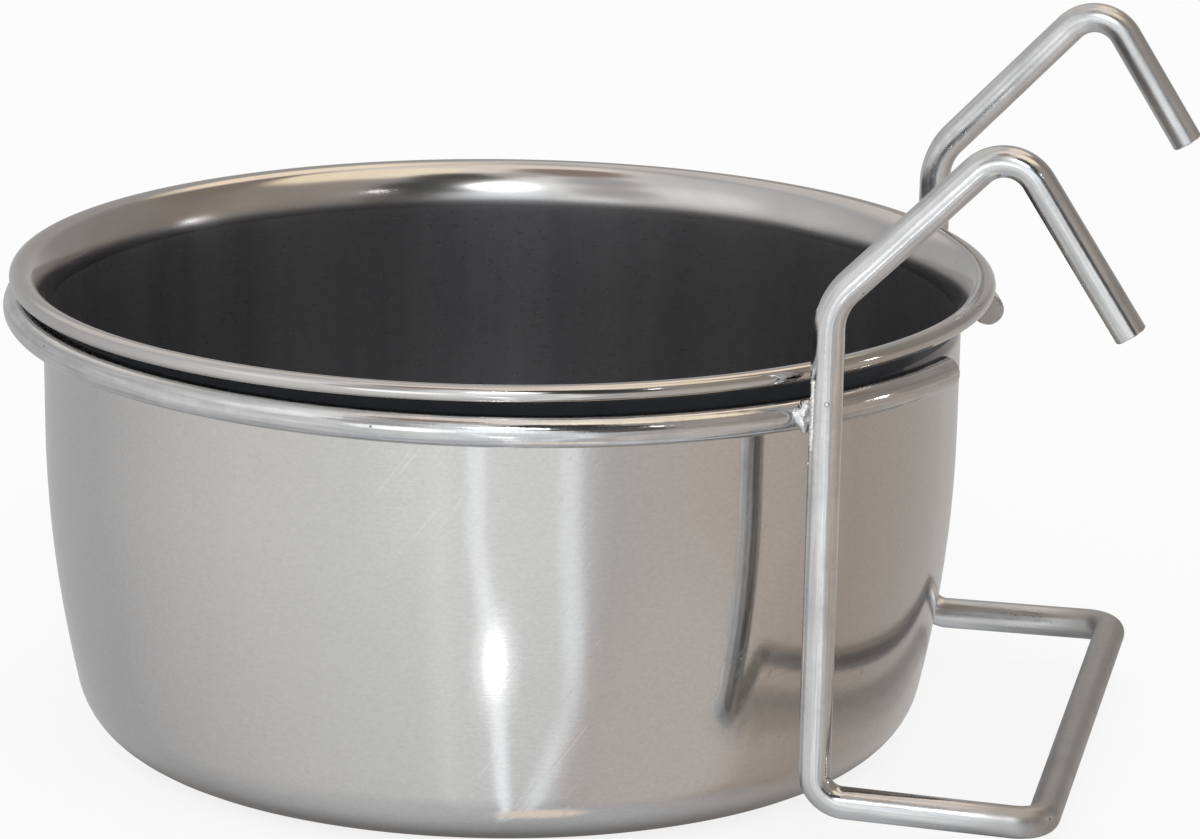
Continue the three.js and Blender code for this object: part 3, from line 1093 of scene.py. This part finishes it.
def room_by_azimuth(tree, turn):
    """The room's tones without its lights and patches."""
    ramp = node(tree, "ValToRGB", Fac=remap(tree, turn, -math.pi, math.pi, 0, 1))
    stops = ramp.color_ramp.elements
    last = len(ROOM_TONES) - 1
    for i, (azimuth, tone) in enumerate(ROOM_TONES):
        place = (azimuth + 180) / 360
        if 0 < i < last:
            stop = stops.new(place)
        else:
            stop = stops[-1 if i else 0]
        stop.position = place
        stop.color = (*(c / BRIGHTEST for c in tone), 1)
    return scaled(tree, ramp.outputs[0], BRIGHTEST)


def strip_share(tree, turn, rise, top, middle, bottom, half_width, strength):
    """How much of one leaning strip light there is in a direction."""
    to_middle = remap(tree, rise, top[0], middle[0], math.radians(top[1]), math.radians(middle[1]))
    lean = math.radians(bottom[1] - middle[1])
    place = maths(tree, "ADD", to_middle, remap(tree, rise, middle[0], bottom[0], 0, lean))
    aside = maths(tree, "ABSOLUTE", maths(tree, "SUBTRACT", turn, place))
    edge = math.radians(half_width)
    strip = remap(tree, aside, STRIP_CORE * edge, edge, 1, 0, smooth=True)
    fade = remap(tree, rise, *STRIP_FADES, strength, STRIP_FADED * strength)
    return maths(tree, "MULTIPLY", strip, fade)


def room_colour(tree):
    """What polished metal mirrors: tones by azimuth, with strip lights and round patches."""
    way = node(tree, "TexCoord").outputs["Generated"]
    across = dot(tree, way, level_right)
    towards = dot(tree, way, level_back)
    rise = height_of(tree, way)
    turn = maths(tree, "ARCTAN2", across, towards)

    level = room_by_azimuth(tree, turn)
    level = scaled(tree, level, remap(tree, rise, *DIM_BELOW, 1, DIM_LEVEL))
    table = remap(tree, rise, *TABLE_BELOW, 0, 1)
    level = blend_colour(tree, table, level, (*TABLE_TONE, 1))
    right_side = remap(tree, across, *SIDE_BEYOND, 0, 1, smooth=True)
    shade = remap(tree, rise, *SIDE_ABOVE, 0, SIDE_SHADE, smooth=True)
    unshaded = maths(tree, "SUBTRACT", 1, maths(tree, "MULTIPLY", right_side, shade))
    level = scaled(tree, level, unshaded)

    for strip in STRIPS:
        level = blend_colour(tree, strip_share(tree, turn, rise, *strip), level, (*STRIP_TONE, 1))
    room_way = node(tree, "CombineXYZ", X=across, Y=towards, Z=rise).outputs[0]
    for azimuth, elevation, inner, outer, tone in ROOM_PATCHES:
        near = dot(tree, room_way, room_direction(azimuth, elevation))
        edge = math.cos(math.radians(outer))
        core = math.cos(math.radians(inner))
        level = blend_colour(tree, remap(tree, near, edge, core, 0, 1, smooth=True), level, (*tone, 1))
    return level


# Studio: the light. What is neither seen nor mirrored is lit by a plain sky of this strength
SKY_LIGHT = 0.85
# Soft square lamps: name, azimuth and elevation in degrees, size and power
LAMP_DISTANCE = 1.0
LAMPS = (
    ("key", 1, 35, 0.05, 0.9),
    ("right_low", 91, 8, 0.05, 0.2),
    ("right_front", 36, 28, 0.04, 0.06),
)


def make_world():
    """White for the camera, the room for metal, and a plain soft light for the rest."""
    world = bpy.data.worlds.new("studio")
    bpy.context.scene.world = world
    world.use_nodes = True
    tree = world.node_tree
    tree.nodes.clear()
    rays = node(tree, "LightPath").outputs
    seen = maths(tree, "MAXIMUM", rays["Is Camera Ray"], rays["Is Transmission Ray"])
    plain = node(tree, "Background", Color=WHITE, Strength=remap(tree, seen, 0, 1, SKY_LIGHT, 1.0))
    room = node(tree, "Background", Color=room_colour(tree), Strength=1.0)
    out = node(tree, "OutputWorld")
    tree.links.new(mix(tree, rays["Is Glossy Ray"], plain, room).outputs[0], out.inputs[0])


def on_sphere(turn, tilt, distance):
    """A point round the object, turned from the camera's side to its right."""
    level = level_back * math.cos(turn) + level_right * math.sin(turn)
    return (level * math.cos(tilt) + Vector((0, 0, math.sin(tilt)))) * distance


def make_lamp(name, azimuth, elevation, size, power):
    """A soft square lamp that faces the object."""
    lamp = bpy.data.lights.new(name, "AREA")
    lamp.size = size
    lamp.energy = power
    made = bpy.data.objects.new(name, lamp)
    made.location = on_sphere(math.radians(azimuth), math.radians(elevation), LAMP_DISTANCE)
    made.rotation_euler = made.location.to_track_quat("Z", "Y").to_euler()
    bpy.context.scene.collection.objects.link(made)


def make_camera():
    """The photograph's camera."""
    back = on_sphere(0, CAMERA_ELEVATION, 1)
    up = back.cross(level_right)
    target = Vector((0, 0, CAMERA_HEIGHT)) + level_right * CAMERA_RIGHT + up * CAMERA_UP
    turned_right = level_right * math.cos(CAMERA_ROLL) + up * math.sin(CAMERA_ROLL)
    turned_up = up * math.cos(CAMERA_ROLL) - level_right * math.sin(CAMERA_ROLL)
    camera = bpy.data.cameras.new("camera")
    camera.sensor_width = SENSOR
    camera.lens = SENSOR * LENS_PER_WIDTH
    camera.clip_start = CAMERA_CLIP
    made = bpy.data.objects.new("camera", camera)
    turn = Matrix((turned_right, turned_up, back)).transposed()
    made.matrix_world = Matrix.Translation(target + back * CAMERA_DISTANCE) @ turn.to_4x4()
    bpy.context.scene.collection.objects.link(made)
    bpy.context.scene.camera = made


# The pieces, in the order of the bowl's zones and of the wires' skin and cut ends
make_bowl([steel_outside(), steel_rim(), steel_inside(), groove_painted_shade()])
ring_finish = drawn_wire("ring_wire", RING_ROUGHNESS)
frame_finish = drawn_wire("frame_wire", FRAME_ROUGHNESS)
cut_finish = cut_face()
weld_finish = weld_metal()
make_wire("ring_wire", "rim_ring", ring_stations(), [ring_finish, cut_finish])
make_wire("frame_wire", "hook_frame", bent_stations(frame_corners()), [frame_finish, cut_finish])
make_weld("near_bead", "near_weld", -1, weld_finish)
make_weld("far_bead", "far_weld", 1, weld_finish)

make_floor()
make_world()
make_camera()
for lamp in LAMPS:
    make_lamp(*lamp)

bpy.context.scene.view_settings.view_transform = "Standard"
